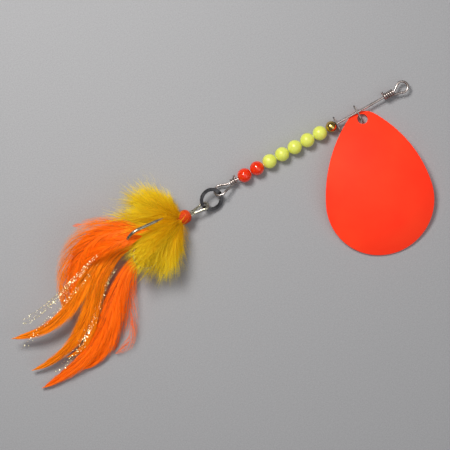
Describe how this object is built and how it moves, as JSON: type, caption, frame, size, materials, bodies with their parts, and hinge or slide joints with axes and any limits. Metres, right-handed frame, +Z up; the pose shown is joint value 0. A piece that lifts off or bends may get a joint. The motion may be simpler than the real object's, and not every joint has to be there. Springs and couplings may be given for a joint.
{
  "type": "inline spinner lure",
  "caption": "Inline fishing spinner with a red-orange blade, chartreuse and red beads and a dressed treble hook.",
  "frame": {"origin": "centre of the line-tie eye, on the axis of the shaft wire", "axes": "+X along the shaft toward the line-tie end, +Z up from the table the lure lies on, the blade lies toward -Y"},
  "size_m": [0.2611, 0.1053, 0.0287],
  "materials": {
    "shaft_steel": "bright drawn stainless spring wire",
    "clevis_steel": "polished nickel-plated stirrup clevis",
    "blade_paint": "satin fluorescent red-orange powder coat",
    "bearing_brass": "polished brass bead",
    "chartreuse_plastic": "opaque fluorescent chartreuse bead",
    "red_plastic": "clear fluorescent red-orange bead",
    "ring_steel": "black nickel split ring",
    "hook_tin": "bright tin-nickel plated hook wire",
    "thread": "fluorescent orange-red tying thread",
    "head_lacquer": "wound thread head under clear head cement",
    "marabou_yellow": "fluffy golden-yellow marabou with olive shadows",
    "hackle_orange": "dyed orange saddle hackle",
    "hackle_amber": "dyed amber saddle hackle",
    "flash_tinsel": "crinkled gold-silver flash strands"
  },
  "bodies": {
    "shaft": {"shaft_wire": "shaft_steel"},
    "bearing": {"bearing_bead": "bearing_brass"},
    "clevis": {"clevis": "clevis_steel"},
    "blade": {"blade": "blade_paint"},
    "bead_1": {"chartreuse_bead_1": "chartreuse_plastic"},
    "bead_2": {"chartreuse_bead_2": "chartreuse_plastic"},
    "bead_3": {"chartreuse_bead_3": "chartreuse_plastic"},
    "bead_4": {"chartreuse_bead_4": "chartreuse_plastic"},
    "bead_5": {"chartreuse_bead_5": "chartreuse_plastic"},
    "bead_6": {"red_bead_1": "red_plastic"},
    "bead_7": {"red_bead_2": "red_plastic"},
    "ring": {"split_ring": "ring_steel"},
    "hook": {"treble_pair": "hook_tin", "treble_single": "hook_tin", "thread_base": "thread", "thread_head": "head_lacquer", "marabou_left": "marabou_yellow", "marabou_right": "marabou_yellow", "hackle_orange_top": "hackle_orange", "hackle_amber_left": "hackle_amber", "hackle_amber_mid": "hackle_amber", "hackle_orange_low": "hackle_orange", "hackle_orange_side": "hackle_orange", "hackle_orange_short": "hackle_orange", "flash_top": "flash_tinsel", "flash_low": "flash_tinsel"}
  },
  "joints": [
    {"name": "bearing_bead_slide", "type": "slide", "parent": "shaft", "child": "bearing", "axis": [1, 0, 0], "range_m": [0, 0.011]},
    {"name": "clevis_spin", "type": "hinge", "parent": "bearing", "child": "clevis", "pos_m": [-0.0355, 0, 0], "axis": [1, 0, 0], "continuous": true},
    {"name": "blade_lift", "type": "hinge", "parent": "clevis", "child": "blade", "pos_m": [-0.0289, -0.0024, -0.0006], "axis": [-1, 0, 0], "range_deg": [0, 85]},
    {"name": "chartreuse_bead_1_spin", "type": "hinge", "parent": "shaft", "child": "bead_1", "pos_m": [-0.05295, 0, 0], "axis": [1, 0, 0], "continuous": true},
    {"name": "chartreuse_bead_2_spin", "type": "hinge", "parent": "shaft", "child": "bead_2", "pos_m": [-0.06101, 0, 0], "axis": [1, 0, 0], "continuous": true},
    {"name": "chartreuse_bead_3_spin", "type": "hinge", "parent": "shaft", "child": "bead_3", "pos_m": [-0.06907, 0, 0], "axis": [1, 0, 0], "continuous": true},
    {"name": "chartreuse_bead_4_spin", "type": "hinge", "parent": "shaft", "child": "bead_4", "pos_m": [-0.07713, 0, 0], "axis": [1, 0, 0], "continuous": true},
    {"name": "chartreuse_bead_5_spin", "type": "hinge", "parent": "shaft", "child": "bead_5", "pos_m": [-0.08519, 0, 0], "axis": [1, 0, 0], "continuous": true},
    {"name": "red_bead_1_spin", "type": "hinge", "parent": "shaft", "child": "bead_6", "pos_m": [-0.09325, 0, 0], "axis": [1, 0, 0], "continuous": true},
    {"name": "red_bead_2_spin", "type": "hinge", "parent": "shaft", "child": "bead_7", "pos_m": [-0.10131, 0, 0], "axis": [1, 0, 0], "continuous": true},
    {"name": "split_ring_swing", "type": "hinge", "parent": "shaft", "child": "ring", "pos_m": [-0.12034, -0.00158, 0.0011], "axis": [0.3093, -0.7809, 0.5427], "range_deg": [-35, 35]},
    {"name": "hook_swing", "type": "hinge", "parent": "ring", "child": "hook", "pos_m": [-0.12972, -0.00389, 0.00081], "axis": [0.1544, -0.8754, -0.4581], "range_deg": [-35, 35]}
  ]
}
